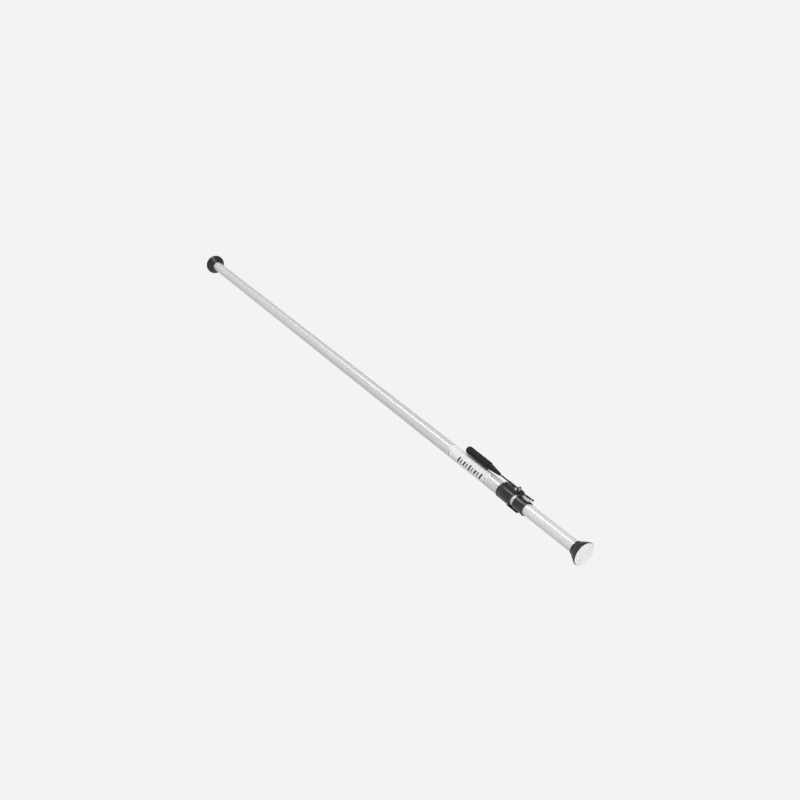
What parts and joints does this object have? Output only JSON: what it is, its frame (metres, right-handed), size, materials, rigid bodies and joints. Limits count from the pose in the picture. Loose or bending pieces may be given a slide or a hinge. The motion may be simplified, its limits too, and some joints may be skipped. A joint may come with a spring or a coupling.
{
  "type": "telescopic tension bar",
  "caption": "Telescopic cargo bar that wedges between two walls, with a clamping lever, a self-gripping sliding collar and flared rubber feet.",
  "frame": {"origin": "centre of the outer foot's bearing face", "axes": "+X along the bar towards the inner foot, +Z towards the clamping lever"},
  "size_m": [2.528, 0.09, 0.0952],
  "materials": {
    "tube_aluminium": "satin, clear anodised",
    "label_white": "satin vinyl",
    "bush_plastic": "natural acetal",
    "black_enamel": "gloss enamel",
    "dark_steel": "phosphated",
    "bright_steel": "zinc plated",
    "spring_steel": "drawn wire",
    "black_rod": "satin black",
    "black_plastic": "moulded satin",
    "grip_rubber": "fine moulded texture",
    "zinc_sheet": "bright plated sheet",
    "foot_rubber": "satin moulded",
    "pad_pale": "matt, non-marking"
  },
  "bodies": {
    "outer_section": {"outer_tube": "tube_aluminium", "label_band": "label_white", "mouth_bush": "bush_plastic", "fixed_collar": "black_enamel", "collar_grub_screws": "dark_steel", "guide_bar": "black_plastic", "guide_screws": "dark_steel", "spring_anchor_pin": "bright_steel", "return_spring": "spring_steel", "lever_pin": "bright_steel", "lever_pin_clip": "spring_steel", "outer_foot": "foot_rubber", "outer_foot_pad": "pad_pale", "outer_foot_washer": "bright_steel", "outer_foot_screw": "bright_steel", "outer_foot_plug": "bush_plastic"},
    "lever": {"lever_cam": "bright_steel", "stem_socket": "black_rod", "lever_stem": "black_rod", "stem_pin": "bright_steel", "grip_core": "black_plastic", "grip_sleeve": "grip_rubber"},
    "sliding_collar": {"sliding_collar": "black_enamel", "collar_liner": "bush_plastic", "thrust_block": "dark_steel", "thrust_block_pin": "bright_steel", "shoulder_screw": "bright_steel", "trigger_spring": "spring_steel"},
    "brake_trigger": {"brake_cam": "dark_steel", "brake_pin": "bright_steel", "brake_pin_clip": "spring_steel", "release_trigger": "zinc_sheet", "trigger_rod": "black_rod", "trigger_tip": "black_plastic"},
    "inner_section": {"inner_tube": "tube_aluminium", "tail_bush": "bush_plastic", "tail_rivets": "tube_aluminium", "inner_foot": "foot_rubber", "inner_foot_pad": "pad_pale", "inner_foot_washer": "bright_steel", "inner_foot_screw": "bright_steel", "inner_foot_plug": "bush_plastic"}
  },
  "joints": [
    {"name": "lever_hinge", "type": "hinge", "parent": "outer_section", "child": "lever", "pos_m": [2.254, 0, 0.034], "axis": [0, 1, 0], "range_deg": [0, 95]},
    {"name": "collar_slide", "type": "slide", "parent": "outer_section", "child": "sliding_collar", "axis": [1, 0, 0], "range_m": [-0.0055, 0], "deforming": ["return_spring"]},
    {"name": "trigger_hinge", "type": "hinge", "parent": "sliding_collar", "child": "brake_trigger", "pos_m": [2.291, 0, 0.028], "axis": [0, 1, 0], "range_deg": [-30, 0], "stiffness_Nm_per_rad": 0.05, "springref_deg": 17.19},
    {"name": "inner_slide", "type": "slide", "parent": "sliding_collar", "child": "inner_section", "axis": [1, 0, 0], "range_m": [-0.175, 1.4]}
  ],
  "couplings": [
    {"joint": "collar_slide", "follows": "lever_hinge", "m_per_rad": -0.0033171}
  ]
}
